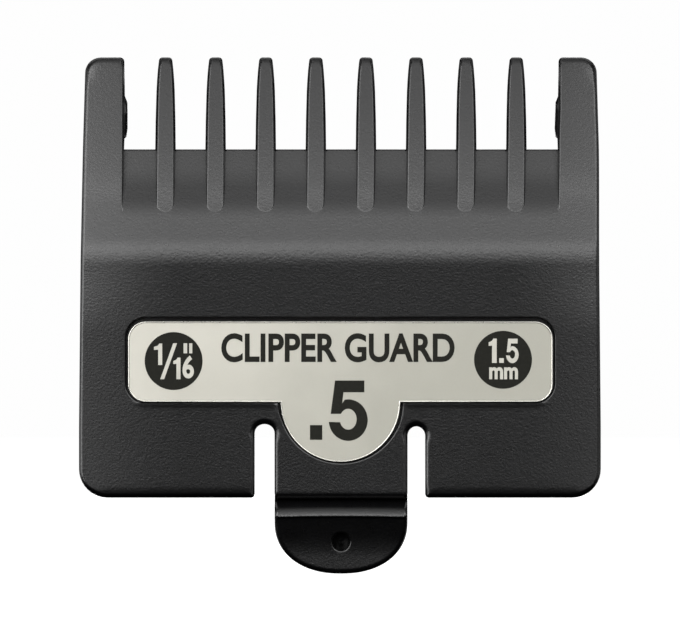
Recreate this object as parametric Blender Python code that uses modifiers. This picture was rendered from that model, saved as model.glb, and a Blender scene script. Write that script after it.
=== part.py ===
"""Clipper guard comb, half-millimetre class: a clip-on cutting guide for a hair clipper blade.

Upright, teeth up. +X is the width, -Y faces the skin and carries the label, +Y faces the
blade, +Z runs to the tooth tips. Heights below are measured from the thumb pad's lowest
point; an empty carries the whole guard, so that the world origin lies on the blade seat.
"""
import math

import bmesh
import bpy
from mathutils import Matrix, Vector

MM = 0.001

# ---- driving dimensions -------------------------------------------------------------------
OVERALL_WIDTH = 50.0 * MM
OVERALL_HEIGHT = 49.4 * MM
PLATE_THICKNESS = 2.5 * MM
PLATE_BOTTOM = 7.2 * MM
SEAT_HEIGHT = 27.0 * MM          # height of the blade seat point, the world origin
SIDE_DRAFT = 0.55 * MM           # how much each side leans in from the bottom to the tips
CORNER_RADIUS = 2.5 * MM
EDGE_RADIUS = 0.55 * MM

# side profile: flat plate, a bend, then a slope that leans back to the tooth tips
BEND_START = 29.5 * MM
BEND_RADIUS = 12.0 * MM
OUTER_TILT = math.radians(16.0)
CURL_START = 38.0 * MM           # above this height the teeth curl back a little more
TIP_TILT = math.radians(24.0)
INNER_TILT = math.radians(12.0)
THROAT = 40.6 * MM               # top edge of the plate between the teeth
CHEEK_DEPTH = 4.9 * MM           # how far the side walls stand out on the blade side

# teeth
INNER_TEETH = 8
TOOTH_PITCH = 4.79 * MM
TOOTH_HALF_ROOT = 0.95 * MM
TOOTH_HALF_TIP = 0.60 * MM
OUTER_TOOTH_INNER_EDGE = 20.85 * MM
VALLEY_START = 34.5 * MM
VALLEY_DEPTH = 1.3 * MM
HOOK_START = 43.6 * MM
HOOK_DEPTH = 1.5 * MM

# blade pocket
POCKET_HALF_WIDTH = 23.2 * MM
BLADE_STOP = 41.6 * MM
STOP_HALF_GAP = 20.4 * MM

# release tab and the two slots beside it
TAB_HALF_WIDTH = 6.37 * MM
SLOT_WIDTH = 1.8 * MM
SLOT_TOP = 14.15 * MM
FLEX_HEIGHT = 9.6 * MM
CREST_HEIGHT = 5.33 * MM
CREST_DEPTH = 3.5 * MM
PAD_HALF_HEIGHT = 4.9 * MM
PAD_SQUARENESS = 2.2
DIMPLE_RADIUS = 0.93 * MM
DIMPLE_HEIGHT = 2.95 * MM

# badge and its recess
BADGE_HALF_WIDTH = 20.36 * MM
BADGE_BOTTOM = 16.35 * MM
BADGE_TOP = 24.1 * MM
BADGE_CORNER = 1.72 * MM
LOBE_RADIUS = 5.75 * MM
BADGE_THICKNESS = 0.5 * MM
ADHESIVE_THICKNESS = 0.12 * MM
RECESS_DEPTH = 1.0 * MM
RECESS_CLEARANCE = 0.3 * MM

# spring clip and rivets
CLIP_HALF_WIDTH = 5.4 * MM
CLIP_TOP = 24.4 * MM
CLIP_THICKNESS = 0.5 * MM
CLIP_POCKET_DEPTH = 0.75 * MM
HOOK_HALF_WIDTH = 4.6 * MM
HOOK_REACH = 3.3 * MM
HOOK_LEVEL = 7.4 * MM
RIVET_SPACING = 6.4 * MM
RIVET_HEIGHT = 21.0 * MM
RIVET_RADIUS = 1.0 * MM
RIVET_HEAD_RADIUS = 1.6 * MM

FILM_GAP = 0.05 * MM             # between stacked films and in the rivet holes
TRIM = 0.03 * MM                 # thin skins that a later cut removes, so no two faces coincide
FLEX_GAP = 0.3 * MM              # cut across the flexure, where one moulding is two bodies

ARC_STEPS = 6
ROUND_STEPS = 24
REACH = 80.0 * MM                # longer than the guard, for cutters that pass right through

OUTER_FACE = -PLATE_THICKNESS
FLEX_DEPTH = OUTER_FACE / 2


# ---- outlines -----------------------------------------------------------------------------
def filleted(corners, steps=ARC_STEPS):
    """A closed outline whose corners (a, b, radius) are replaced by tangent arcs."""
    points = []
    for index, (a, b, radius) in enumerate(corners):
        here = Vector((a, b))
        if radius == 0.0:
            points.append((a, b))
            continue
        before = (Vector(corners[index - 1][:2]) - here).normalized()
        after = (Vector(corners[(index + 1) % len(corners)][:2]) - here).normalized()
        half = before.angle(after) / 2
        centre = here + (before + after).normalized() * radius / math.sin(half)
        start = here + before * radius / math.tan(half) - centre
        end = here + after * radius / math.tan(half) - centre
        turn = start.angle_signed(end)
        base = math.atan2(start.y, start.x)
        for step in range(steps + 1):
            angle = base - turn * step / steps
            points.append((centre.x + radius * math.cos(angle), centre.y + radius * math.sin(angle)))
    return points


def outer_surface(height):
    """Depth (y) of the skin-side surface at a height: plate, bend, slope and curled tips."""
    bend_end = BEND_START + BEND_RADIUS * math.sin(OUTER_TILT)
    if height <= BEND_START:
        return OUTER_FACE
    if height <= bend_end:
        angle = math.asin((height - BEND_START) / BEND_RADIUS)
        return OUTER_FACE + BEND_RADIUS * (1 - math.cos(angle))
    slope = OUTER_FACE + BEND_RADIUS * (1 - math.cos(OUTER_TILT))
    slope += (min(height, CURL_START) - bend_end) * math.tan(OUTER_TILT)
    if height > CURL_START:
        part = (height - CURL_START) / (OVERALL_HEIGHT - CURL_START)
        tilt = OUTER_TILT + (TIP_TILT - OUTER_TILT) * part / 2
        slope += (height - CURL_START) * math.tan(tilt)
    return slope


def inner_surface(height):
    """Depth (y) of the blade-side surface of the plate and of the teeth behind it."""
    return max(0.0, (height - BEND_START - 0.6 * MM) * math.tan(INNER_TILT))


def heights(low, high, count):
    return [low + (high - low) * step / count for step in range(count + 1)]


def front_outline():
    """The whole comb seen from the front, as (x, z) corners with their radii."""
    slot_inner = TAB_HALF_WIDTH
    slot_outer = TAB_HALF_WIDTH + SLOT_WIDTH
    slot_radius = SLOT_WIDTH / 2 * 0.99
    half_top = OVERALL_WIDTH / 2 - SIDE_DRAFT
    root = FLEX_HEIGHT + FLEX_GAP / 2
    right = [
        (slot_inner, root, 0.0),
        (slot_inner, SLOT_TOP, slot_radius),
        (slot_outer, SLOT_TOP, slot_radius),
        (slot_outer, PLATE_BOTTOM, 0.3 * MM),
        (OVERALL_WIDTH / 2, PLATE_BOTTOM, CORNER_RADIUS),
        (OVERALL_WIDTH / 2, BEND_START / 2, 0.0),
        (half_top, OVERALL_HEIGHT, 1.2 * MM),
        (OUTER_TOOTH_INNER_EDGE - 0.15 * MM, OVERALL_HEIGHT, 0.3 * MM),
        (OUTER_TOOTH_INNER_EDGE, THROAT, 0.0),
    ]
    for index in reversed(range(INNER_TEETH // 2)):
        centre = (index + 0.5) * TOOTH_PITCH
        right += [
            (centre + TOOTH_HALF_ROOT, THROAT, 0.0),
            (centre + TOOTH_HALF_ROOT * 0.93, 45.0 * MM, 0.0),
            (centre + TOOTH_HALF_TIP, OVERALL_HEIGHT, 0.35 * MM),
            (centre - TOOTH_HALF_TIP, OVERALL_HEIGHT, 0.35 * MM),
            (centre - TOOTH_HALF_ROOT * 0.93, 45.0 * MM, 0.0),
            (centre - TOOTH_HALF_ROOT, THROAT, 0.0),
        ]
    left = [(-x, z, radius) for x, z, radius in reversed(right)]
    return filleted(right + left)


def side_outline():
    """The comb seen from the side, as (y, z) points: skin side up, blade side down."""
    bottom = filleted([
        (TRIM, BEND_START, 0.0),
        (TRIM, PLATE_BOTTOM, EDGE_RADIUS),
        (OUTER_FACE, PLATE_BOTTOM, EDGE_RADIUS),
        (OUTER_FACE, BEND_START, 0.0),
    ])
    front = [(outer_surface(z), z) for z in heights(BEND_START, OVERALL_HEIGHT - 0.7 * MM, 20)]
    tip = outer_surface(OVERALL_HEIGHT)
    back = [
        (tip, OVERALL_HEIGHT),
        (tip + 1.2 * MM, OVERALL_HEIGHT),
        (tip + 1.7 * MM, OVERALL_HEIGHT - 0.5 * MM),
        (tip + 1.8 * MM, OVERALL_HEIGHT - 2.0 * MM),
        (CHEEK_DEPTH, BEND_START + 6.0 * MM),
        (CHEEK_DEPTH, 12.0 * MM),
        (CHEEK_DEPTH - 1.0 * MM, 10.6 * MM),
        (TRIM, 8.8 * MM),
    ]
    return bottom[1:-1] + front + back


def blade_space_outline():
    """The space of the blade between the side walls, as (y, z) points."""
    inner = [(inner_surface(z), z) for z in heights(BEND_START, BLADE_STOP, 8)]
    return [(0.0, 0.0)] + inner + [(REACH, BLADE_STOP), (REACH, 0.0)]


def tooth_back_outline():
    """The space behind the inner teeth above the blade's shoulders; the teeth end in a hook."""
    ledge = inner_surface(HOOK_START) - TRIM
    tip = outer_surface(OVERALL_HEIGHT)
    low = BLADE_STOP - 1.0 * MM
    return [
        (inner_surface(low) + TRIM, low),
        (ledge, HOOK_START),
        (ledge + HOOK_DEPTH * 0.5, HOOK_START + 0.5 * MM),
        (ledge + HOOK_DEPTH, HOOK_START + 1.3 * MM),
        (tip + 1.7 * MM, OVERALL_HEIGHT - 1.8 * MM),
        (tip + 1.3 * MM, OVERALL_HEIGHT - 0.5 * MM),
        (tip + 0.8 * MM, OVERALL_HEIGHT + 0.1 * MM),
        (REACH, OVERALL_HEIGHT + 0.1 * MM),
        (REACH, low),
    ]


def blade_stop_outline(side):
    """A shoulder behind each outer tooth that the blade's corner stops against, as (x, z)."""
    corners = [
        (OUTER_TOOTH_INNER_EDGE + 0.8 * MM, BLADE_STOP),
        (OUTER_TOOTH_INNER_EDGE + 0.8 * MM, BLADE_STOP + 4.6 * MM),
        (OUTER_TOOTH_INNER_EDGE - 0.05 * MM, BLADE_STOP + 4.1 * MM),
        (STOP_HALF_GAP, BLADE_STOP + 2.2 * MM),
        (STOP_HALF_GAP, BLADE_STOP + 0.5 * MM),
        (STOP_HALF_GAP + 0.2 * MM, BLADE_STOP),
    ]
    return [(side * x, z) for x, z in corners]


def valley_outline():
    """One valley between two ribs, cut deeper towards the throat, as (y, z) points."""
    return [
        (outer_surface(VALLEY_START), VALLEY_START),
        (outer_surface(THROAT) + VALLEY_DEPTH, THROAT + 0.2 * MM),
        (-REACH, THROAT + 0.2 * MM),
        (-REACH, VALLEY_START),
    ]


def tab_side_outline():
    """The release tab from the side: flat root, folded step, crest and concave thumb pad."""
    return filleted([
        (0.0, FLEX_HEIGHT - FLEX_GAP / 2, 0.0),
        (0.0, 6.2 * MM, 0.8 * MM),
        (-1.6 * MM, 4.3 * MM, 1.2 * MM),
        (-1.3 * MM, 0.0, 0.5 * MM),
        (-3.1 * MM, 0.0, 0.5 * MM),
        (-2.55 * MM, 3.0 * MM, 4.0 * MM),
        (-CREST_DEPTH, CREST_HEIGHT, 0.08 * MM),
        (-CREST_DEPTH + 0.1 * MM, CREST_HEIGHT + 0.46 * MM, 0.8 * MM),
        (-1.45 * MM, 6.95 * MM, 0.45 * MM),
        (OUTER_FACE, 8.05 * MM, 0.8 * MM),
        (OUTER_FACE, FLEX_HEIGHT - FLEX_GAP / 2, 0.0),
    ])


def tab_front_outline():
    """The release tab from the front: straight sides and a squarish round end."""
    points = [(-TAB_HALF_WIDTH, FLEX_HEIGHT + 1.0 * MM), (TAB_HALF_WIDTH, FLEX_HEIGHT + 1.0 * MM)]
    power = 2 / PAD_SQUARENESS
    for step in range(ROUND_STEPS + 1):
        angle = math.pi * step / ROUND_STEPS
        x = TAB_HALF_WIDTH * math.copysign(abs(math.cos(angle)) ** power, math.cos(angle))
        z = PAD_HALF_HEIGHT * (1 - math.sin(angle) ** power)
        points.append((x, z))
    return points


def badge_outline(grow):
    """A rounded bar with a round lobe under its middle, grown by a margin, as (x, z) points."""
    half = BADGE_HALF_WIDTH + grow
    low = BADGE_BOTTOM - grow
    high = BADGE_TOP + grow
    corner = BADGE_CORNER + grow
    lobe = LOBE_RADIUS + grow
    sink = math.asin(grow / lobe)
    root = lobe * math.cos(sink)
    points = filleted([
        (half, low, corner), (half, high, corner), (-half, high, corner), (-half, low, corner),
        (-root, low + TRIM, 0.0),
    ])
    for step in range(1, ROUND_STEPS):
        angle = math.pi + sink + (math.pi - 2 * sink) * step / ROUND_STEPS
        points.append((lobe * math.cos(angle), BADGE_BOTTOM + lobe * math.sin(angle)))
    return points + [(root, low + TRIM)]


# ---- scene and modelling helpers ----------------------------------------------------------
def clear_scene():
    for item in list(bpy.data.objects):
        bpy.data.objects.remove(item, do_unlink=True)


def make_collection(name):
    collection = bpy.data.collections.new(name)
    bpy.context.scene.collection.children.link(collection)
    return collection


def make_empty(name, location, parent):
    empty = bpy.data.objects.new(name, None)
    empty.empty_display_size = 4 * MM
    empty.location = location
    empty.parent = parent
    guard_collection.objects.link(empty)
    return empty


def make_material(name, colour, roughness, metallic):
    material = bpy.data.materials.new(name)
    material.use_nodes = True
    shader = material.node_tree.nodes["Principled BSDF"]
    shader.inputs["Base Color"].default_value = (*colour, 1.0)
    shader.inputs["Roughness"].default_value = roughness
    shader.inputs["Metallic"].default_value = metallic
    return material


def weld(mesh):
    """Joins a filled curve's loose caps to its sides, and makes each cap one flat face."""
    work = bmesh.new()
    work.from_mesh(mesh)
    bmesh.ops.remove_doubles(work, verts=work.verts, dist=0.001 * MM)
    caps = [edge for edge in work.edges if edge.calc_face_angle(1.0) < math.radians(0.01)]
    bmesh.ops.dissolve_edges(work, edges=caps, use_verts=False)
    bmesh.ops.recalc_face_normals(work, faces=work.faces)
    work.to_mesh(mesh)
    work.free()


def slab(name, outline, low, high, facing, collection):
    """A flat outline as a filled 2D curve, extruded from low to high across its plane.

    facing "front": the outline is (x, z) and the slab is thick along Y.
    facing "side": the outline is (y, z) and the slab is thick along X.
    """
    curve = bpy.data.curves.new(name, "CURVE")
    curve.dimensions = "2D"
    curve.fill_mode = "BOTH"
    curve.extrude = (high - low) / 2
    spline = curve.splines.new("POLY")
    spline.points.add(len(outline) - 1)
    for point, (a, b) in zip(spline.points, outline):
        point.co = (a, b, 0.0, 1.0)
    spline.use_cyclic_u = True
    drawn = bpy.data.objects.new(name + "_outline", curve)
    middle = (high + low) / 2
    if facing == "front":
        drawn.location = (0.0, middle, 0.0)
        drawn.rotation_euler = (math.pi / 2, 0.0, 0.0)
    else:
        drawn.location = (middle, 0.0, 0.0)
        drawn.rotation_euler = (math.pi / 2, 0.0, math.pi / 2)
    collection.objects.link(drawn)
    bpy.context.view_layer.update()
    graph = bpy.context.evaluated_depsgraph_get()
    mesh = bpy.data.meshes.new_from_object(drawn.evaluated_get(graph))
    mesh.name = name
    mesh.transform(drawn.matrix_world)
    bpy.data.objects.remove(drawn, do_unlink=True)
    weld(mesh)
    solid = bpy.data.objects.new(name, mesh)
    solid.parent = guard
    collection.objects.link(solid)
    return solid


def drum(name, radius_low, radius_high, low, high, x, z, collection):
    """A round solid along Y from low to high, straight or tapered."""
    bpy.ops.mesh.primitive_cone_add(
        vertices=ROUND_STEPS, radius1=radius_low, radius2=radius_high, depth=high - low,
        location=(0, 0, 0), rotation=(0, 0, 0),
    )
    solid = bpy.context.object
    solid.name = name
    solid.rotation_euler = (-math.pi / 2, 0.0, 0.0)
    solid.location = (x, (low + high) / 2, z)
    for owner in list(solid.users_collection):
        owner.objects.unlink(solid)
    collection.objects.link(solid)
    solid.parent = guard
    return solid


def as_cutter(tool):
    tool.hide_render = True
    tool.display_type = "WIRE"
    return tool


def combine(target, tool, operation):
    """Boolean of the target with a cutter that stays in the scene as a guide."""
    as_cutter(tool)
    step = target.modifiers.new(tool.name, "BOOLEAN")
    step.operation = operation
    step.solver = "EXACT"
    step.object = tool


def finish(solid, material):
    solid.data.materials.clear()
    solid.data.materials.append(material)


# ---- the pieces ---------------------------------------------------------------------------
def build_comb_body(nylon):
    """Front outline crossed with the side outline, then the pockets, valleys and holes."""
    body = slab("comb_body", front_outline(), -8 * MM, 9 * MM, "front", guard_collection)
    combine(body, slab("shell_profile", side_outline(), -REACH, REACH, "side", cutters), "INTERSECT")
    space = slab("blade_space", blade_space_outline(), -POCKET_HALF_WIDTH, POCKET_HALF_WIDTH, "side", cutters)
    combine(body, space, "DIFFERENCE")
    backs = slab("tooth_backs", tooth_back_outline(), -STOP_HALF_GAP, STOP_HALF_GAP, "side", cutters)
    combine(body, backs, "DIFFERENCE")
    stop_front = inner_surface(HOOK_START) + 0.2 * MM
    for name, side in (("blade_stop_left", -1), ("blade_stop_right", 1)):
        stop = slab(name, blade_stop_outline(side), stop_front, stop_front + 2.2 * MM, "front", cutters)
        combine(body, stop, "UNION")
    for index in range(INNER_TEETH + 1):
        middle = (index - INNER_TEETH / 2) * TOOTH_PITCH
        low = middle - TOOTH_PITCH / 2 + TOOTH_HALF_ROOT + TRIM
        high = middle + TOOTH_PITCH / 2 - TOOTH_HALF_ROOT - TRIM
        if index == 0:
            low = TRIM - OUTER_TOOTH_INNER_EDGE
        if index == INNER_TEETH:
            high = OUTER_TOOTH_INNER_EDGE - TRIM
        combine(body, slab(f"valley_{index}", valley_outline(), low, high, "side", cutters), "DIFFERENCE")
    floor = OUTER_FACE + RECESS_DEPTH
    recess = slab("badge_recess", badge_outline(RECESS_CLEARANCE), -REACH, floor, "front", cutters)
    combine(body, recess, "DIFFERENCE")
    combine(body, clip_pocket("clip_pocket_upper"), "DIFFERENCE")
    for side, x in (("left", -RIVET_SPACING / 2), ("right", RIVET_SPACING / 2)):
        hole = drum(f"rivet_hole_{side}", RIVET_RADIUS + FILM_GAP, RIVET_RADIUS + FILM_GAP,
                    -REACH, REACH, x, RIVET_HEIGHT, cutters)
        combine(body, hole, "DIFFERENCE")
        sink = drum(f"rivet_sink_{side}", RIVET_HEAD_RADIUS + FILM_GAP, RIVET_HEAD_RADIUS + FILM_GAP,
                    -REACH, floor + 0.3 * MM, x, RIVET_HEIGHT, cutters)
        combine(body, sink, "DIFFERENCE")
    finish(body, nylon)


def clip_outline(half_width, low, high, corner):
    return filleted([
        (half_width, low, 0.0), (half_width, high, corner),
        (-half_width, high, corner), (-half_width, low, 0.0),
    ])


def clip_pocket(name):
    """The shallow pocket in the inner face that lets the clip lie flush."""
    outline = clip_outline(CLIP_HALF_WIDTH + 0.15 * MM, 0.0, CLIP_TOP + 0.15 * MM, 1.35 * MM)
    return slab(name, outline, -CLIP_POCKET_DEPTH, REACH, "front", cutters)


def build_release_tab(nylon):
    """The tongue between the slots: it flexes outwards to free the blade."""
    tab = slab("release_tab", tab_front_outline(), -8 * MM, 8 * MM, "front", guard_collection)
    combine(tab, slab("tab_profile", tab_side_outline(), -REACH, REACH, "side", cutters), "INTERSECT")
    combine(tab, clip_pocket("clip_pocket_lower"), "DIFFERENCE")
    dimple = drum("gate_dimple", DIMPLE_RADIUS, DIMPLE_RADIUS, -REACH, -2.2 * MM, 0.0, DIMPLE_HEIGHT, cutters)
    combine(tab, dimple, "DIFFERENCE")
    finish(tab, nylon)
    return tab


def build_badge(metal, glue):
    """The metal size badge and the film of adhesive that holds it in its recess."""
    floor = OUTER_FACE + RECESS_DEPTH
    film_front = floor - FILM_GAP - ADHESIVE_THICKNESS
    film = slab("badge_adhesive", badge_outline(-0.4 * MM), film_front, floor - FILM_GAP, "front", guard_collection)
    finish(film, glue)
    back = film_front - FILM_GAP
    badge = slab("size_badge", badge_outline(0.0), back - BADGE_THICKNESS, back, "front", guard_collection)
    finish(badge, metal)


def build_clip(steel):
    """The spring clip: a riveted leaf on the comb and the hooked end that moves with the tab."""
    front = -CLIP_POCKET_DEPTH + FILM_GAP
    back = front + CLIP_THICKNESS
    leaf = slab("clip_leaf", clip_outline(CLIP_HALF_WIDTH, FLEX_HEIGHT + FLEX_GAP / 2, CLIP_TOP, 1.2 * MM),
                front, back, "front", guard_collection)
    for side, x in (("left", -RIVET_SPACING / 2), ("right", RIVET_SPACING / 2)):
        hole = drum(f"clip_hole_{side}", RIVET_RADIUS + FILM_GAP, RIVET_HEAD_RADIUS + 2 * FILM_GAP,
                    front - 0.01 * MM, back + 0.01 * MM, x, RIVET_HEIGHT, cutters)
        combine(leaf, hole, "DIFFERENCE")
    finish(leaf, steel)
    middle = (front + back) / 2
    path = [(middle, FLEX_HEIGHT - FLEX_GAP / 2), (middle, HOOK_LEVEL + 1.2 * MM)]
    turn = 1.0 * MM
    for step in range(1, ARC_STEPS + 1):
        angle = math.radians(80.0) * step / ARC_STEPS
        path.append((middle + turn * (1 - math.cos(angle)), HOOK_LEVEL + 1.2 * MM - turn * math.sin(angle)))
    path += [(HOOK_REACH - 0.8 * MM, HOOK_LEVEL), (HOOK_REACH, HOOK_LEVEL + 0.7 * MM)]
    hook = strip("clip_hook", path, HOOK_HALF_WIDTH, CLIP_THICKNESS)
    finish(hook, steel)
    return hook


def strip(name, path, half_width, thickness):
    """A bent metal strip: the side path drawn across the width as an open sheet, then thickened."""
    work = bmesh.new()
    low = [work.verts.new((-half_width, y, z)) for y, z in path]
    edges = [work.edges.new(pair) for pair in zip(low, low[1:])]
    sweep = bmesh.ops.extrude_edge_only(work, edges=edges)
    moved = [item for item in sweep["geom"] if isinstance(item, bmesh.types.BMVert)]
    bmesh.ops.translate(work, verts=moved, vec=(2 * half_width, 0.0, 0.0))
    mesh = bpy.data.meshes.new(name)
    work.to_mesh(mesh)
    work.free()
    sheet = bpy.data.objects.new(name, mesh)
    thicken = sheet.modifiers.new("thickness", "SOLIDIFY")
    thicken.thickness = thickness
    thicken.offset = 0.0
    thicken.use_even_offset = True
    sheet.parent = guard
    guard_collection.objects.link(sheet)
    return sheet


def build_rivet(side, x, steel):
    """A countersunk semi-tubular rivet: flush head on the clip, clenched head under the badge."""
    clench_front = OUTER_FACE + RECESS_DEPTH + 0.03 * MM
    clench_back = OUTER_FACE + RECESS_DEPTH + 0.25 * MM
    clip_front = -CLIP_POCKET_DEPTH + FILM_GAP
    clip_back = clip_front + CLIP_THICKNESS
    profile = [
        (0.0, clip_back), (RIVET_HEAD_RADIUS, clip_back), (RIVET_RADIUS, clip_front - 0.03 * MM),
        (RIVET_RADIUS, clench_back), (RIVET_HEAD_RADIUS - 0.1 * MM, clench_back),
        (RIVET_HEAD_RADIUS - 0.1 * MM, clench_front + 0.08 * MM),
        (RIVET_HEAD_RADIUS - 0.3 * MM, clench_front), (0.0, clench_front),
    ]
    mesh = bpy.data.meshes.new(f"clip_rivet_{side}")
    links = [(index, index + 1) for index in range(len(profile) - 1)]
    mesh.from_pydata([(radius, 0.0, depth) for radius, depth in profile], links, [])
    rivet = bpy.data.objects.new(f"clip_rivet_{side}", mesh)
    spin = rivet.modifiers.new("turned", "SCREW")
    spin.axis = "Z"
    spin.steps = ROUND_STEPS
    spin.render_steps = ROUND_STEPS
    spin.use_merge_vertices = True
    spin.merge_threshold = 0.00001
    spin.use_smooth_shade = True
    rivet.rotation_euler = (-math.pi / 2, 0.0, 0.0)
    rivet.location = (x, 0.0, RIVET_HEIGHT)
    rivet.parent = guard
    guard_collection.objects.link(rivet)
    finish(rivet, steel)


def hang_on(axis_empty, solid):
    """Gives a moving piece its origin on its joint axis."""
    solid.data.transform(Matrix.Translation(-axis_empty.location))
    solid.parent = axis_empty


clear_scene()
guard_collection = make_collection("clipper_guard_comb")
cutters = make_collection("cutters")
guard = make_empty("guard_frame", (0.0, 0.0, -SEAT_HEIGHT), None)
flex_axis = make_empty("tab_flex_axis", (0.0, FLEX_DEPTH, FLEX_HEIGHT), guard)

black_nylon = make_material("black_nylon", (0.030, 0.030, 0.031), 0.52, 0.0)
tab_nylon = make_material("tab_nylon", (0.028, 0.028, 0.029), 0.48, 0.0)
badge_metal = make_material("badge_metal", (0.60, 0.59, 0.54), 0.34, 0.9)
clear_adhesive = make_material("clear_adhesive", (0.55, 0.53, 0.48), 0.60, 0.0)
spring_steel = make_material("spring_steel", (0.52, 0.53, 0.54), 0.28, 1.0)
rivet_steel = make_material("rivet_steel", (0.48, 0.48, 0.49), 0.35, 1.0)

build_comb_body(black_nylon)
moving_tab = build_release_tab(tab_nylon)
build_badge(badge_metal, clear_adhesive)
moving_hook = build_clip(spring_steel)
build_rivet("left", -RIVET_SPACING / 2, rivet_steel)
build_rivet("right", RIVET_SPACING / 2, rivet_steel)
hang_on(flex_axis, moving_tab)
hang_on(flex_axis, moving_hook)
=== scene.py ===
"""The looks of the clipper guard comb: one grained nylon moulding, its metal size badge with
printed marks, and the sprung steel clip behind it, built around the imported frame.

Lengths below are millimetres, measured from the guard's centre line (x), the blade seat (y)
and the thumb pad's lowest point (height). to_world() turns them into the frame's metres.
"""
import math

import bmesh
import bpy
import numpy as np
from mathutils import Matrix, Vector
from mathutils.geometry import delaunay_2d_cdt


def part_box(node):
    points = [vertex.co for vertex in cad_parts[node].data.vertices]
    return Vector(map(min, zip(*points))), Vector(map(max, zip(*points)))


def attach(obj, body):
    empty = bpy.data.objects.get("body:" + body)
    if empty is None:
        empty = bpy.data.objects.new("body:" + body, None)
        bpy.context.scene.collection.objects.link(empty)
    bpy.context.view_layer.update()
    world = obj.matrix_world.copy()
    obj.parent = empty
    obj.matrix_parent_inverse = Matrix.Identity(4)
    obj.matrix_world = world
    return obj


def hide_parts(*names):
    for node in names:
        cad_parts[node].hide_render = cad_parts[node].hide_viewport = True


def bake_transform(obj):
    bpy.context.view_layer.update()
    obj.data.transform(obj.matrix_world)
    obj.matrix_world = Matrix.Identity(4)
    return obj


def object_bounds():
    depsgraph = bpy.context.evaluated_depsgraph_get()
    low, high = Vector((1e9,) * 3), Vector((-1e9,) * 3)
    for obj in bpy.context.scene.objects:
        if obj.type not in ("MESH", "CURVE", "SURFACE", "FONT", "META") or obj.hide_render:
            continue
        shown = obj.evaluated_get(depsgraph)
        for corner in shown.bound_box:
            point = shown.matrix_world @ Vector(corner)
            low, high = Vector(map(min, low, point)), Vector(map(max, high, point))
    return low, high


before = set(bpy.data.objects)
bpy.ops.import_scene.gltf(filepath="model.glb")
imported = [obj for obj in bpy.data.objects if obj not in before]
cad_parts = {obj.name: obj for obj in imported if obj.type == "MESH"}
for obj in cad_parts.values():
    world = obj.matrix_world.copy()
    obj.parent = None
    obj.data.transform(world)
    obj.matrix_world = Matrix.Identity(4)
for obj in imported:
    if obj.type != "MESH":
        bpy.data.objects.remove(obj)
cad_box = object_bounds()

MM = 0.001
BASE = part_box("release_tab")[0][2] / MM          # world height of the thumb pad's lowest point
TOP = cad_box[1][2] / MM - BASE                  # overall height of the guard
HALF_WIDTH = cad_box[1][0] / MM                  # half the overall width

# side profile of the outer face: flat plate, bend, slope, curled tips
PLATE = -2.5
BEND_START = 29.45
BEND_RADIUS = 9.5
OUTER_TILT = math.radians(16.0)
CURL_START = 38.0
TIP_TILT = math.radians(24.0)
INNER_TILT = math.radians(12.0)
INNER_BEND = 30.1
CROWN = 0.55                                     # how far the side margins fall back
CROWN_START = 15.0
PLATE_BOTTOM = 7.2
THROAT = 40.6
POCKET_HALF_WIDTH = 23.2
CHEEK_DEPTH = 4.88
BLADE_STOP = 41.6

# ribs and teeth
PITCH = 4.79
INNER_TEETH = 8
OUTER_RIB_EDGE = 20.86
RIB_END = 34.5
RIB_RAISE = 0.07                                 # how far the ribs' lower ends stand above the slope
RIB_EDGE_ROUND = 0.15
RIB_SIDE = 6.5                                   # depth of a rib's drafted side per unit of its width
TOOTH_DRAFT_DEPTH = 1.35                         # how far the drafted side goes down the teeth
FACE_HALF_WIDTHS = ((34.0, 0.85), (40.6, 0.81), (45.3, 0.74), (47.2, 0.66), (49.4, 0.50))
SIDE_HALF_WIDTHS = ((34.0, 1.0), (40.6, 0.98), (43.4, 0.945), (45.3, 0.895), (46.2, 0.87),
                    (47.2, 0.815), (48.2, 0.74), (49.4, 0.62))
TIP_HALF = 0.61
STOP_EDGE = OUTER_RIB_EDGE - 0.2                 # where the blade stop meets the outer tooth

# rim, and the slight unevenness of the moulding
RIM_RADIUS = 0.36
UPPER_SHIFT = 0.1                                # the upper half lies this far to the right
UPPER_STRETCH = 0.004                            # and is wider by this share
CORNER_SHIFT = 0.1                               # the right blade stop lies this far out
TAB_SHIFT = 0.11                                 # the tab lies this far to the right
SLOT_DROP = 0.11                                 # the right slot ends lower, the left one higher
TIP_STRETCH = 0.05                               # the tips end this far above their nominal end
SHARP_ANGLE = math.radians(38)                   # edges sharper than this aren't shaded smooth
LEAST_THICKNESS = 0.08
FILL_BATCH = 400                                 # lattice points tested at a time

# slots and release tab
TAB_HALF = 6.37
SLOT_WIDTH = 1.8
SLOT_TOP = 14.15
SLOT_MIDDLE = (TAB_HALF + SLOT_WIDTH / 2, SLOT_TOP - SLOT_WIDTH / 2)
PAD_HALF_HEIGHT = 4.9
PAD_SAG = 0.07                                   # the real pad ends this far below its nominal end
PAD_SQUARENESS = 2.2
CREST = 5.30
CREST_BOW = 0.09                                 # how far the crest rises in the middle of the tab
DIMPLE = (0.0, 3.02)
DIMPLE_RADIUS = 0.86
DIMPLE_DEPTH = 0.62
DIMPLE_TILT = 0.45                               # the dimple's floor faces down by this slope

# badge
BADGE_HALF = 20.36
BADGE_LOW = 16.35
BADGE_HIGH = 24.1
BADGE_CORNER = 1.72
BADGE_SHIFT = 0.06                               # the label is stuck on slightly to the right
LOBE_RADIUS = 5.75
INK_PROUD = 0.012                                # how far the printed ink stands off the label
MARK_PROUD = 0.026                               # and the bare metal marks in its discs
RECESS_GROW = 0.24
RECESS_SHIFT = (0.03, 0.13)
RECESS_DEPTH = 0.98
BADGE_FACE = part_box("size_badge")[0][1] / MM
BADGE_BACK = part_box("size_badge")[1][1] / MM

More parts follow.
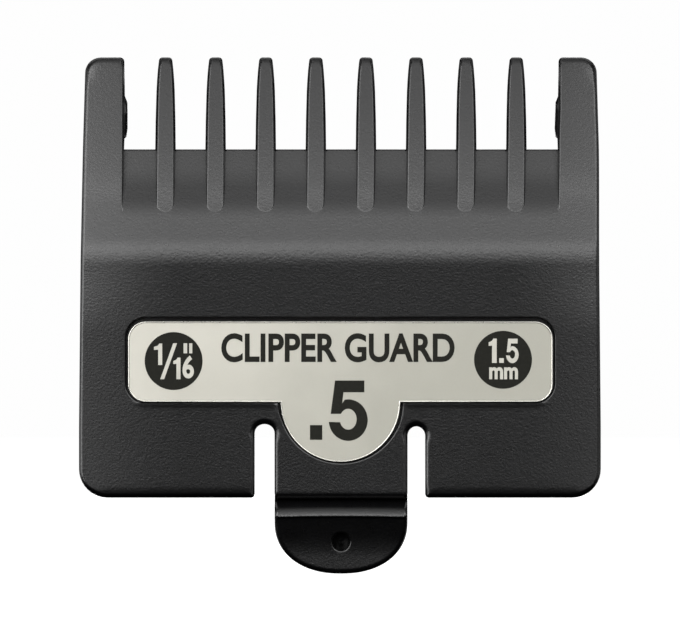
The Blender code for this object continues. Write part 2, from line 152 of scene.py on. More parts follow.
# steel clip
CLIP_HALF = 5.4
CLIP_TOP = 24.4
CLIP_POCKET = -0.75
CLIP_CLEARANCE = 0.15
CLIP_POCKET_CORNER = 1.35
CLIP_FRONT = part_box("clip_leaf")[0][1] / MM
CLIP_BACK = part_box("clip_leaf")[1][1] / MM
HOOK_HALF = 4.6
HOOK_LEVEL = 7.4
HOOK_REACH = 3.3
HOOK_TURN = 1.0
RIVET_X = 3.2
RIVET_HEIGHT = 21.0


# ---- outlines -----------------------------------------------------------------------------
def arc(centre, radius, start, end, steps):
    """Points of an arc, angles in degrees."""
    turn = [math.radians(start + (end - start) * k / steps) for k in range(steps + 1)]
    return [(centre[0] + radius * math.cos(a), centre[1] + radius * math.sin(a)) for a in turn]


def filleted(corners, steps=8):
    """An outline whose corners (a, b, radius) are replaced by tangent arcs."""
    points = []
    for index, (a, b, radius) in enumerate(corners):
        if radius == 0.0:
            points.append((a, b))
            continue
        here = Vector((a, b))
        before = (Vector(corners[index - 1][:2]) - here).normalized()
        after = (Vector(corners[(index + 1) % len(corners)][:2]) - here).normalized()
        half = before.angle(after) / 2
        centre = here + (before + after).normalized() * radius / math.sin(half)
        start = here + before * radius / math.tan(half) - centre
        end = here + after * radius / math.tan(half) - centre
        turn = start.angle_signed(end)
        base = math.atan2(start.y, start.x)
        for step in range(steps + 1):
            angle = base - turn * step / steps
            points.append((centre.x + radius * math.cos(angle), centre.y + radius * math.sin(angle)))
    return points


def dense(points, spacing):
    """The same polyline with its long stretches divided."""
    out = [points[0]]
    for (a, b), (c, d) in zip(points, points[1:]):
        count = max(1, math.ceil(math.hypot(c - a, d - b) / spacing))
        out += [(a + (c - a) * k / count, b + (d - b) * k / count) for k in range(1, count + 1)]
    return out


def pad_curve():
    """Right half of the thumb pad's squarish round end, from its lowest point upwards."""
    points = []
    for step in range(25):
        angle = math.pi / 2 * (1 - step / 24)
        x = TAB_HALF * math.cos(angle) ** (2 / PAD_SQUARENESS)
        z = PAD_HALF_HEIGHT * (1 - math.sin(angle) ** (2 / PAD_SQUARENESS))
        points.append((max(x, 0.0), z))
    points[-1] = (TAB_HALF, PAD_HALF_HEIGHT)
    return points


def table(pairs, height):
    """A value read from (height, value) pairs."""
    return np.interp(height, [p[0] for p in pairs], [p[1] for p in pairs])


def soft_side():
    """Right half of the edge with a rounded rim: pad, tab, slot, plate and outer tooth."""
    corners = [
        (TAB_HALF + SLOT_WIDTH, SLOT_TOP - SLOT_WIDTH / 2, 0.0),
        (TAB_HALF + SLOT_WIDTH, PLATE_BOTTOM, 0.35),
        (HALF_WIDTH, PLATE_BOTTOM, 2.75),
        (HALF_WIDTH, 14.0, 0.0),
        (HALF_WIDTH - 0.15, 30.0, 0.0),
        (HALF_WIDTH - 0.34, 40.5, 0.0),
        (HALF_WIDTH - 0.57, TOP, 1.5),
        (22.0, TOP, 0.0),
    ]
    slot = arc(SLOT_MIDDLE, SLOT_WIDTH / 2, 180, 0, 16)
    return pad_curve() + slot[:-1] + filleted(corners, 10)


def tooth_side():
    """Right half of the toothed edge, from the outer tooth's top in to the centre line."""
    path = filleted([(22.0, TOP, 0.0), (20.72, TOP, 0.42), (20.66, 45.7, 0.0)], 7)[1:]
    # round the blade stop, which juts in behind the outer tooth, and down to the throat
    path += [(20.42, 45.1), (20.40, 44.0), (20.40, 42.6), (20.52, 41.8), (20.68, 41.65)]
    path += [(OUTER_RIB_EDGE - 0.14, THROAT)]
    for index in reversed(range(INNER_TEETH // 2)):
        middle = (index + 0.5) * PITCH
        side = [(middle + half, z) for z, half in SIDE_HALF_WIDTHS[1:-1]]
        tip = filleted([
            (middle + SIDE_HALF_WIDTHS[-2][1], 48.2, 0.0), (middle + TIP_HALF, TOP, 0.34),
            (middle - TIP_HALF, TOP, 0.34), (middle - SIDE_HALF_WIDTHS[-2][1], 48.2, 0.0),
        ], 6)
        other = [(2 * middle - x, z) for x, z in reversed(side)]
        path += side[:-1] + tip + other[1:]
    return path + [(0.0, THROAT)]


def settle(x, z):
    """Where a point of the symmetrical design lies on the real part, which is slightly uneven."""
    upper = smoothstep(z, 28.0, 42.0)
    tab = (1 - smoothstep(np.abs(x), 6.5, 8.1)) * (1 - smoothstep(z, 13.5, 17.0))
    corner = smoothstep(z, 41.0, 45.0) * smoothstep(x, 19.5, 20.3) * (1 - smoothstep(x, 21.5, 23.0))
    slot = smoothstep(np.abs(x), 5.0, 6.4) * (1 - smoothstep(np.abs(x), 8.3, 9.8))
    slot = slot * smoothstep(z, 11.0, 13.0) * (1 - smoothstep(z, 14.3, 15.3)) * np.sign(x)
    across = (UPPER_SHIFT + UPPER_STRETCH * x) * upper + TAB_SHIFT * tab + CORNER_SHIFT * corner
    up = TIP_STRETCH * smoothstep(z, 42.0, 49.0) - PAD_SAG * (1 - smoothstep(z, 0.5, 5.0)) - SLOT_DROP * slot
    return x + across, z + up


def mirrored(points):
    """The points on the other side of the centre line."""
    return [(-x, z) for x, z in points]


def silhouette():
    """The whole outline, counter-clockwise from the pad's lowest point, with soft-rim flags."""
    soft = dense(soft_side(), 0.45)
    hard = dense(tooth_side(), 0.45)
    points = soft + hard + mirrored(reversed(hard[:-1])) + mirrored(reversed(soft[1:]))
    flags = [True] * len(soft) + [z > TOP - 0.45 for _, z in hard]
    flags += [z > TOP - 0.45 for _, z in reversed(hard[:-1])] + [True] * (len(soft) - 1)
    return np.array(points), np.array(flags)


def badge_half(grow):
    """Right half of the badge's outline from the lobe's lowest point to the bar's top middle."""
    lobe = LOBE_RADIUS + grow
    low = BADGE_LOW - grow
    sink = math.degrees(math.asin(grow / lobe))
    half = BADGE_HALF + grow
    bar = filleted([
        (lobe * math.cos(math.radians(sink)), low, 0.0), (half, low, BADGE_CORNER + grow),
        (half, BADGE_HIGH + grow, BADGE_CORNER + grow), (0.0, BADGE_HIGH + grow, 0.0),
    ], 14)
    return arc((0.0, BADGE_LOW), lobe, -90, -sink, 40)[:-1] + bar


def badge_outline(grow):
    """The badge's whole outline, grown by a margin."""
    right = badge_half(grow)
    return right + mirrored(reversed(right[1:-1]))


def badge_distance(x, z):
    """Signed distance to the badge's outline, negative inside."""
    half_height = (BADGE_HIGH - BADGE_LOW) / 2
    across = np.abs(x) - (BADGE_HALF - BADGE_CORNER)
    along = np.abs(z - BADGE_LOW - half_height) - (half_height - BADGE_CORNER)
    outside = np.hypot(np.maximum(across, 0), np.maximum(along, 0))
    bar = outside + np.minimum(np.maximum(across, along), 0) - BADGE_CORNER
    lobe = np.hypot(x, z - BADGE_LOW) - LOBE_RADIUS
    return np.minimum(bar, lobe)


# ---- surfaces as depth (y) over the front view ----------------------------------------------
def smoothstep(value, low, high):
    """An S-shaped rise from 0 to 1 between two values."""
    t = np.clip((value - low) / (high - low), 0.0, 1.0)
    return t * t * (3 - 2 * t)


def outer_profile(z):
    """Depth of the outer face on the centre line."""
    bend_end = BEND_START + BEND_RADIUS * math.sin(OUTER_TILT)
    angle = np.arcsin(np.clip((z - BEND_START) / BEND_RADIUS, 0.0, math.sin(OUTER_TILT)))
    y = PLATE + BEND_RADIUS * (1 - np.cos(angle))
    y = y + np.clip(z - bend_end, 0.0, None) * math.tan(OUTER_TILT)
    part = np.clip((z - CURL_START) / (TOP - CURL_START), 0.0, 1.0)
    extra = np.tan(OUTER_TILT + (TIP_TILT - OUTER_TILT) * part / 2) - math.tan(OUTER_TILT)
    return y + np.clip(z - CURL_START, 0.0, None) * extra


def inner_profile(z):
    """Depth of the blade-side face: flat seat, soft bend, slope."""
    blend = 1.6
    rise = np.clip(z - INNER_BEND + blend, 0.0, 2 * blend) ** 2 / (4 * blend)
    return (rise + np.clip(z - INNER_BEND - blend, 0.0, None)) * math.tan(INNER_TILT)


def profile_table(corners, steps=8):
    """A side profile (y, z) as depth over height, for np.interp."""
    points = np.array(dense(filleted(corners, steps), 0.1))
    order = np.argsort(points[:, 1])
    return points[order, 1], points[order, 0]


# thumb pad, crest, ledge and the step up to the plate
TAB_FRONT = profile_table([
    (-2.6, -2.0, 0.0), (-2.6, 2.6, 8.0), (-3.3, CREST - 0.1, 0.04), (-3.5, CREST, 0.13),
    (-3.45, CREST + 0.64, 1.05), (-1.4, 7.05, 0.02), (PLATE, 7.16, 0.6), (PLATE, 12.0, 0.0),
])
TAB_BACK = profile_table([
    (-1.3, -2.0, 0.0), (-1.45, 4.0, 1.0), (0.0, 6.2, 0.9), (0.0, 12.0, 0.0),
])
# side wall, from the plate's bottom edge to the outer tooth's tip
CHEEK_BACK = profile_table([
    (0.0, 0.0, 0.0), (0.0, 8.9, 0.8), (CHEEK_DEPTH, 11.3, 1.2), (CHEEK_DEPTH, 35.5, 6.0),
    (5.25, 47.0, 1.0), (5.15, 60.0, 0.0),
])
# inner teeth: they thicken behind the blade's front edge
TOOTH_BACK = profile_table([
    (0.0, 30.0, 0.0), (float(inner_profile(43.4)), 43.4, 0.5),
    (float(inner_profile(43.4)) + 1.5, 44.6, 0.8), (5.2, 47.6, 1.5), (4.75, 49.6, 0.0),
])
# depth of the valleys between the ribs
VALLEY = profile_table([(0.0, 30.0, 0.0), (0.0, 34.95, 4.5), (0.80, 37.9, 9.0), (1.04, 41.0, 0.0)])


def rib_cross(x, z):
    """How far inside the nearest rib's front face a point is, and whether that rib is an outer one."""
    face = table(FACE_HALF_WIDTHS, z)
    middle = (np.floor(np.abs(x) / PITCH) + 0.5) * PITCH
    across = np.abs(np.abs(x) - middle)
    bottom = RIB_END + face
    inner = np.where(z > bottom, face - across, face - np.hypot(across, np.minimum(z - bottom, 0)))
    outer = np.abs(x) - OUTER_RIB_EDGE
    is_outer = np.abs(x) > PITCH * INNER_TEETH / 2
    return np.where(is_outer, outer, inner), is_outer


def rib_raise(z):
    """How far the ribs stand above the slope at a height."""
    return RIB_RAISE * smoothstep(z, RIB_END + 0.2, RIB_END + 3.0)


def crest_bow(x):
    """How much higher the tab's crest runs at x than at the tab's edges."""
    return CREST_BOW * np.clip(1 - (x / TAB_HALF) ** 2, 0.0, 1.0)


def tooth_draft(z):
    """Depth of the teeth's drafted sides, less towards their thin tips."""
    return TOOTH_DRAFT_DEPTH - 0.85 * smoothstep(z, 45.0, 48.6)


def drop_depth(z):
    """How deep the ribs' sides go: to the valley floor below the throat, further up the teeth."""
    return np.where(z > THROAT, tooth_draft(z), np.interp(z, *VALLEY) + rib_raise(z))


def rib_foot(z):
    """How far outside its front face a rib's drafted side meets the floor."""
    return np.maximum(drop_depth(z) - RIB_EDGE_ROUND, 0.0) / RIB_SIDE


def segment_distance(points, path, flags):
    """Distance of each point to the flagged stretches of a closed path."""
    best = np.full(len(points), 1e9)
    for start in range(len(path)):
        end = (start + 1) % len(path)
        if not (flags[start] and flags[end]):
            continue
        a = path[start]
        along = path[end] - a
        share = np.clip(((points - a) @ along) / max(along @ along, 1e-12), 0.0, 1.0)
        near = a + share[:, None] * along
        best = np.minimum(best, np.hypot(points[:, 0] - near[:, 0], points[:, 1] - near[:, 1]))
    return best


def rounding(distance, radius):
    """How far a rounded rim falls back at a distance from the edge."""
    inside = np.clip(radius - distance, 0.0, radius)
    return radius - np.sqrt(np.maximum(radius ** 2 - inside ** 2, 0.0))


def rim_radius(x, z):
    """Radius of the outer rim: larger round the slot tops, the pad and the outer tooth tips."""
    radius = RIM_RADIUS + 0.26 * smoothstep(z, 12.4, 13.4) * (np.abs(x) < 9.2) * (z < 16.0)
    radius = radius + 0.14 * (1 - smoothstep(z, 4.2, 5.4))
    radius = radius + 0.24 * (1 - smoothstep(z, 7.5, 8.6)) * (np.abs(x) > TAB_HALF + 1.0)
    return radius + 0.2 * smoothstep(z, 46.0, 48.6)


def plain_front(x, z):
    """Depth of the plate, slope and tab, with the side margins falling back."""
    on_tab = (np.abs(x) < TAB_HALF + 0.5) & (z < 9.0)
    bowed = z - crest_bow(x) * smoothstep(z, 2.5, 5.0) * (1 - smoothstep(z, 6.3, 7.2))
    y = np.where(on_tab, np.interp(bowed, *TAB_FRONT), outer_profile(z))
    crown = CROWN * np.clip((np.abs(x) - CROWN_START) / (HALF_WIDTH - CROWN_START), 0.0, 1.0) ** 2
    return y + crown * (1 + 0.6 * smoothstep(z, 23.0, 31.0))


def with_ribs(y, x, z):
    """The same surface with raised ribs, the valleys and gaps between them, and the blade stops."""
    inside, is_outer = rib_cross(x, z)
    raised = np.where(is_outer, rib_raise(z) * smoothstep(z, RIB_END, RIB_END + 4.0), rib_raise(z))
    side = rounding(np.maximum(inside, 0.0), RIB_EDGE_ROUND)
    side = side + np.maximum(-inside, 0.0) * RIB_SIDE
    floor = np.where(z > THROAT, tooth_draft(z), np.interp(z, *VALLEY) + raised)
    y = y - raised + np.minimum(side, floor)
    throat = (side > floor) & (z < THROAT + 0.05) & (z > THROAT - 0.4)
    y = y + np.where(throat, rounding(THROAT - z, 0.14), 0.0)
    stop = (np.abs(x) < STOP_EDGE) & (np.abs(x) > 20.0) & (z > THROAT + 0.9)
    return np.where(stop, inner_profile(z) + 0.3 + 1.1 * (STOP_EDGE - np.abs(x)), y)


def with_recess(y, x, z):
    """The same surface with the label's recess, which has a low lip under its bar."""
    recess = badge_distance(x - RECESS_SHIFT[0], z - RECESS_SHIFT[1]) - RECESS_GROW
    lip = (np.abs(x) > LOBE_RADIUS + 0.3) & (z < BADGE_LOW)
    y = y + RECESS_DEPTH * np.clip(-recess / 0.05, 0.0, 1.0)
    y = y + np.where(lip, 0.0, rounding(np.maximum(recess, 0.0), 0.07))
    return y - np.where(lip, 0.035 * (1 - smoothstep(recess, 0.02, 0.5)), 0.0)


def with_dimple(y, x, z):
    """The same surface with the round gate dimple in the thumb pad."""
    hole = np.hypot(x - DIMPLE[0], z - DIMPLE[1])
    depth = DIMPLE_DEPTH - DIMPLE_TILT * (z - DIMPLE[1]) - 0.12 * (1 - smoothstep(hole, 0.15, 0.4))
    y = y + depth * np.clip((DIMPLE_RADIUS - hole) / 0.04, 0.0, 1.0)
    return y + rounding(np.maximum(hole - DIMPLE_RADIUS, 0.0), 0.13)


def front_depth(x, z, rim):
    """Depth of the outer face over the front view."""
    y = with_ribs(plain_front(x, z), x, z)
    y = with_dimple(with_recess(y, x, z), x, z)
    return y + rounding(rim, rim_radius(x, z))


def back_depth(x, z, edge):
    """Depth of the blade-side face over the same front view."""
    on_tab = (np.abs(x) < TAB_HALF + 0.5) & (z < 9.0)
    y = np.where(on_tab, np.interp(z, *TAB_BACK), inner_profile(z))
    inner_tooth = (np.abs(x) < 20.0) & (z > BLADE_STOP)
    y = np.where(inner_tooth, np.interp(z, *TOOTH_BACK), y)
    cheek = np.interp(z, *CHEEK_BACK)
    wall = np.clip((np.abs(x) - POCKET_HALF_WIDTH) / 0.12, 0.0, 1.0)
    shoulder = np.clip((z - BLADE_STOP) / 0.12, 0.0, 1.0) * (np.abs(x) > 20.2)
    y = y + np.maximum(wall, shoulder) * np.maximum(cheek - y, 0.0)
    pocket = clip_pocket_distance(x, z)
    y = np.where(pocket < 0, np.minimum(y, np.interp(pocket, [-0.06, 0.0], [CLIP_POCKET, 0.0])), y)
    tip = np.where(np.abs(x) < 20.0, 0.35, 0.6)
    y = y - rounding(np.maximum(TOP - z, 0.0), tip)
    small = np.where(inner_tooth, 0.16, 0.3)
    return y - rounding(edge, small)


def clip_pocket_distance(x, z):
    """Signed distance to the clip's shallow pocket, negative inside."""
    across = np.abs(x) - (CLIP_HALF + CLIP_CLEARANCE - CLIP_POCKET_CORNER)
    along = z - (CLIP_TOP + CLIP_CLEARANCE - CLIP_POCKET_CORNER)
    outside = np.hypot(np.maximum(across, 0), np.maximum(along, 0))
    return outside + np.minimum(np.maximum(across, along), 0) - CLIP_POCKET_CORNER


# ---- the moulding's mesh ------------------------------------------------------------------
class Plan:
    """Points and edges in the front view that the triangulation keeps."""

    def __init__(self, outline):
        self.outline = outline
        self.points = [Vector(p) for p in outline]
        self.edges = []

    def inside(self, points):
        """Even-odd test of each point against the outline."""
        x, z = points[:, 0], points[:, 1]
        hit = np.zeros(len(points), bool)
        for (ax, az), (bx, bz) in zip(self.outline, np.roll(self.outline, -1, axis=0)):
            spans = (az > z) != (bz > z)
            if az != bz:
                hit ^= spans & (x < (bx - ax) * (z - az) / (bz - az) + ax)
        return hit

    def clear(self, points, margin):
        """Which points lie inside the outline by more than a margin."""
        everything = np.ones(len(self.outline), bool)
        return self.inside(points) & (segment_distance(points, self.outline, everything) > margin)

    def line(self, path, spacing=0.45, margin=0.006):
        """Adds a polyline where it lies inside the outline."""
        points = np.array(dense(list(path), spacing))
        keep = self.clear(points, margin)
        last = None
        for point, ok in zip(points, keep):
            if not ok:
                last = None
                continue
            self.points.append(Vector(point))
            here = len(self.points) - 1
            if last is not None:
                self.edges.append((last, here))
            last = here

    def fill(self, columns, rows, gap):
        """Adds the points of a lattice that lie clear of everything added so far."""
        grid = np.array([(x, z) for z in rows for x in columns])
        grid = grid[self.clear(grid, gap)]
        taken = np.array([tuple(p) for p in self.points])
        for start in range(0, len(grid), FILL_BATCH):
            part = grid[start:start + FILL_BATCH]
            across = part[:, None, 0] - taken[None, :, 0]
            up = part[:, None, 1] - taken[None, :, 1]
            away = np.min(np.hypot(across, up), axis=1)
            self.points += [Vector(p) for p in part[away > gap]]


def unit(vectors):
    """Each row of an array as a vector of length 1."""
    return vectors / np.linalg.norm(vectors, axis=1)[:, None]


def inset(path, distance):
    """An open path moved to its left by a distance, without the parts that fold back."""
    path = np.array(path)
    ahead = np.roll(path, -1, axis=0) - path
    ahead[-1] = ahead[-2]
    behind = np.roll(ahead, 1, axis=0)
    behind[0] = ahead[0]
    way = unit(unit(ahead) + unit(behind))
    moved = path + distance * np.stack([-way[:, 1], way[:, 0]], axis=1)
    flags = np.ones(len(path), bool)
    flags[-1] = False
    keep = segment_distance(moved, path, flags) > distance * 0.995 - 1e-4
    runs, run = [], []
    for point, ok in zip(moved, keep):
        if ok:
            run.append(tuple(point))
        elif run:
            runs.append(run)
            run = []
    return [r for r in runs + [run] if len(r) > 1]


def both_sides(path):
    """A path and its mirror image."""
    return [list(path), mirrored(path)]


def rib_lines(plan):
    """Lines along the ribs' edges: up the teeth and round the ribs' lower ends."""
    middles = [(index - INNER_TEETH / 2 + 0.5) * PITCH for index in range(INNER_TEETH)]
    for inside in (0.0, 0.01, 0.03, 0.06, 0.1, RIB_EDGE_ROUND, 0.22):
        for middle in middles:
            plan.line(rib_loop(middle, lambda z: inside, TOP - 0.05), 0.3, 0.008)
        z = np.linspace(RIB_END - 0.3, TOP, 40)
        for path in both_sides([(OUTER_RIB_EDGE + inside, h) for h in z]):
            plan.line(path, margin=0.008)
    for beyond in (0.004, 0.09):
        for middle in middles:
            plan.line(rib_loop(middle, lambda z: -rib_foot(z) - beyond, THROAT - 0.02), 0.3)
        z = np.linspace(RIB_END + 0.1, THROAT - 0.02, 24)
        for path in both_sides([(OUTER_RIB_EDGE - float(rib_foot(h)) - beyond, h) for h in z]):
            plan.line(path)
    for x in (STOP_EDGE + 0.005, STOP_EDGE - 0.005, STOP_EDGE + 0.11):
        for path in both_sides([(x, THROAT + 0.1), (x, TOP - 0.2)]):
            plan.line(path)


def rib_loop(middle, inside, high):
    """A line inside a rib's front face by a distance that is a function of height: down one
    side, round the lower end and up the other side."""
    bottom = RIB_END + float(table(FACE_HALF_WIDTHS, RIB_END + 0.8))
    heights = np.linspace(high, bottom, 30)
    half = table(FACE_HALF_WIDTHS, heights) - np.array([float(inside(h)) for h in heights])
    down = list(zip(middle - half, heights))
    end = arc((middle, bottom), half[-1], 180, 360, 12)[1:-1]
    up = [(2 * middle - x, z) for x, z in reversed(down)]
    return down + end + up


def rim_lines(plan):
    """Lines along the rounded rims: the outer edge, the slot tops, the pad, the tips and the throats."""
    soft_right = dense(soft_side(), 0.3)
    rim_path = mirrored(reversed(soft_right[1:])) + soft_right
    for share in (0.035, 0.14, 0.31, 0.54, 0.8, 1.0, 1.25):
        for run in inset(rim_path, RIM_RADIUS * share):
            plan.line(run, 0.45, 0.004)
    for out in (0.5, 0.56, 0.61, 0.66, 0.75):
        for path in both_sides(arc(SLOT_MIDDLE, SLOT_WIDTH / 2 + out, -15, 195, 24)):
            plan.line(path, 0.4)
    for share in (1.35, 1.6):
        for run in inset(dense(pad_curve(), 0.3), RIM_RADIUS * share):
            for path in both_sides(run):
                plan.line(path, 0.45)
    for below in (0.02, 0.07, 0.15, 0.26, 0.4, 0.58):
        plan.line([(-HALF_WIDTH, TOP - below), (HALF_WIDTH, TOP - below)], 0.2)
    for below in (0.012, 0.04, 0.08, 0.14, 0.2):
        plan.line([(-22.5, THROAT - below), (22.5, THROAT - below)], 0.3)


def front_feature_lines(plan):
    """Lines along the label's recess, the dimple, the tab's crest and the step above it."""
    for out in (0.5, 0.4, 0.3, 0.2, 0.12, 0.06, 0.02, 0.0, -0.05, -0.12):
        ring = badge_outline(RECESS_GROW + out)
        plan.line([(x + RECESS_SHIFT[0], z + RECESS_SHIFT[1]) for x, z in ring + ring[:1]], 0.5)
    for radius in (0.15, 0.28, 0.4, 0.62, 0.82, 0.86, 0.875, 0.905, 0.94, 0.99, 1.08):
        plan.line(arc(DIMPLE, radius, 0, 360, 48), 0.5)
    across = np.linspace(-TAB_HALF, TAB_HALF, 37)
    for above in (-0.2, -0.1, -0.05, 0.0, 0.03, 0.07, 0.14, 0.24, 0.36, 0.5, 0.64, 0.78, 0.92):
        plan.line([(x, CREST + above + float(crest_bow(x))) for x in across], 0.4)
    for z in (6.95, 7.05, 7.12, 7.2, 7.28, 7.36, 7.46, 7.58, 7.74):
        plan.line([(-TAB_HALF, z), (TAB_HALF, z)], 0.35)


def blade_side_lines(plan):
    """Lines along the side walls, the blade's shoulders and the clip's pocket."""
    for offset in (-0.1, 0.0, 0.06, 0.12, 0.25):
        x = POCKET_HALF_WIDTH + offset
        for path in both_sides([(x, 8.0), (x, BLADE_STOP + 0.5)]):
            plan.line(path, 0.45)
    for offset in (-0.1, 0.0, 0.06, 0.12, 0.25):
        z = BLADE_STOP + offset
        for path in both_sides([(20.3, z), (POCKET_HALF_WIDTH + 0.3, z)]):
            plan.line(path, 0.3)
    for grow in (0.12, 0.03, -0.03, -0.12):
        half = CLIP_HALF + CLIP_CLEARANCE + grow
        high = CLIP_TOP + CLIP_CLEARANCE + grow
        corner = CLIP_POCKET_CORNER + grow
        right = [(half, 2.0, 0.0), (half, high, corner)]
        left = [(-half, high, corner), (-half, 2.0, 0.0)]
        plan.line(filleted(right + left, 10), 0.5)


def fill_between(plan):
    """Lattice points between the lines, closer together where the surface bends."""
    columns = np.arange(-31, 32) * PITCH / 6
    tab_columns = np.arange(-10, 11) * 0.6
    plan.fill(tab_columns, np.arange(0.3, 9.0, 0.16), 0.07)
    plan.fill(columns, np.arange(7.5, 28.2, 0.8), 0.25)
    plan.fill(columns, np.arange(28.4, 34.2, 0.2), 0.12)
    plan.fill(columns, np.arange(34.3, THROAT, 0.36), 0.16)
    plan.fill(columns, np.arange(THROAT + 0.2, TOP, 0.3), 0.14)


def wall_faces(faces, count):
    """The rim wall: one face for each edge that only one of the sheet's faces has."""
    border = {}
    for face in faces:
        for a, b in zip(face, list(face[1:]) + [face[0]]):
            if (b, a) in border:
                del border[(b, a)]
            else:
                border[(a, b)] = True
    return [(b, a, a + count, b + count) for a, b in border]


def new_object(name, data, material):
    """Puts a mesh, curve or text with its material in the scene."""
    piece = bpy.data.objects.new(name, data)
    bpy.context.scene.collection.objects.link(piece)
    data.materials.append(material)
    return piece


def build_moulding(material):
    """The whole nylon moulding as one closed mesh: outer sheet, inner sheet and the rim wall."""
    outline, flags = silhouette()
    plan = Plan(outline)
    rim_lines(plan)
    rib_lines(plan)
    front_feature_lines(plan)
    blade_side_lines(plan)
    fill_between(plan)
    loop = list(range(len(outline)))
    points, _, faces, _, _, _ = delaunay_2d_cdt(plan.points, plan.edges, [loop], 1, 1e-5)
    flat = np.array([tuple(p) for p in points])
    x, z = flat[:, 0], flat[:, 1]
    front = front_depth(x, z, segment_distance(flat, outline, flags))
    edge = segment_distance(flat, outline, np.ones(len(outline), bool))
    back = np.maximum(back_depth(x, z, edge), front + LEAST_THICKNESS)
    x, z = settle(x, z)
    vertices = np.concatenate([np.stack([x, y, z + BASE], axis=1) for y in (front, back)])
    count = len(flat)
    solid = [tuple(face) for face in faces] + [tuple(v + count for v in reversed(face)) for face in faces]
    mesh = bpy.data.meshes.new("comb_moulding")
    mesh.from_pydata((vertices * MM).tolist(), [], solid + wall_faces(faces, count))
    mesh.validate()
    mesh.shade_smooth()
    mesh.set_sharp_from_angle(angle=SHARP_ANGLE)
    return new_object("comb_moulding", mesh, material)


# ---- small pieces -------------------------------------------------------------------------
def to_world(x, y, height):
    """The frame's metres for millimetres of the guard."""
    return (x * MM, y * MM, (height + BASE) * MM)


def closed_curve(name, dimensions, outlines):
    """Closed outlines of the front view as one curve."""
    curve = bpy.data.curves.new(name, "CURVE")
    curve.dimensions = dimensions
    curve.bevel_resolution = 3
    for outline in outlines:
        spline = curve.splines.new("POLY")
        spline.points.add(len(outline) - 1)
        for point, (a, b) in zip(spline.points, outline):
            point.co = (a * MM, b * MM, 0.0, 1.0)
        spline.use_cyclic_u = True
    return curve


def stood_up(piece, x, y, height):
    """Turns a piece drawn flat to face the front, at its place on the label."""
    piece.rotation_euler = (math.pi / 2, 0.0, 0.0)
    piece.location = to_world(x + BADGE_SHIFT, y, height)
    return piece


def flat_piece(name, outlines, front, back, material, bevel=0.0):
    """Closed outlines in the front view as a thin filled plate between two depths."""
    curve = closed_curve(name, "2D", outlines)
    curve.fill_mode = "BOTH"
    curve.extrude = ((back - front) / 2 - bevel) * MM
    curve.bevel_depth = bevel * MM
    curve.offset = -bevel * MM
    return stood_up(new_object(name, curve, material), 0.0, (front + back) / 2, 0.0)


def words(name, text, centre, size, stretch, weight, depth, material):
    """Plain sans lettering, centred on a point of the front view."""
    font = bpy.data.curves.new(name, "FONT")
    font.body = text
    font.size = size * MM
    font.align_x = "CENTER"
    font.align_y = "CENTER"
    font.extrude = 0.006 * MM
    font.offset = weight * MM
    font.resolution_u = 6
    piece = new_object(name, font, material)
    piece.scale = (stretch, 1.0, 1.0)
    return stood_up(piece, centre[0], BADGE_FACE - depth, centre[1])


def rim_bead(name, outline, radius, material):
    """A fine half-round bead that runs round the label just inside its edge."""
    curve = closed_curve(name, "3D", [outline])
    curve.bevel_depth = radius * MM
    return stood_up(new_object(name, curve, material), 0.0, BADGE_FACE + radius * 0.25, 0.0)


def figure_five(left=-1.13, base=12.65, wide=1.0, high=1.0):
    """Outline of a figure 5: bar, leaning stem and an open round bowl."""
    middle_x, outer_z, inner_z = 0.737, 14.643, 14.727
    bar = [(0.165, 16.25), (0.286, 17.305), (2.283, 17.305), (2.283, 18.434), (-0.527, 18.434)]
    stem = [(-0.944, 15.241)]
    inner = ellipse((middle_x, inner_z), 0.807, 0.998, 149, -163)
    outer = ellipse((middle_x, outer_z), 1.869, 1.99, -175, 100)
    whole = bar + stem + inner + outer
    return [(left + (x + 1.13) * wide, base + (z - 12.65) * high) for x, z in whole]


def figure_one(right, base, height, stroke, flag):
    """Outline of a figure 1 with a short flag, its stem's right side at a given x."""
    stem = right - stroke
    return [(right, base), (right, base + height), (right - 0.7 * stroke, base + height),
            (stem - 0.1 * flag, base + 0.90 * height), (stem - flag, base + 0.845 * height),
            (stem - flag, base + 0.70 * height), (stem, base + 0.715 * height), (stem, base)]


def ellipse(centre, half_width, half_height, start, end):
    """Points of part of an ellipse, angles in degrees."""
    turn = np.radians(np.linspace(start, end, 40))
    return list(zip(centre[0] + half_width * np.cos(turn), centre[1] + half_height * np.sin(turn)))


def box_outline(low_x, low_z, high_x, high_z, lean=0.0):
    """Outline of a bar, its upper end moved sideways by the lean."""
    return [(low_x, low_z), (high_x, low_z), (high_x + lean, high_z), (low_x + lean, high_z)]


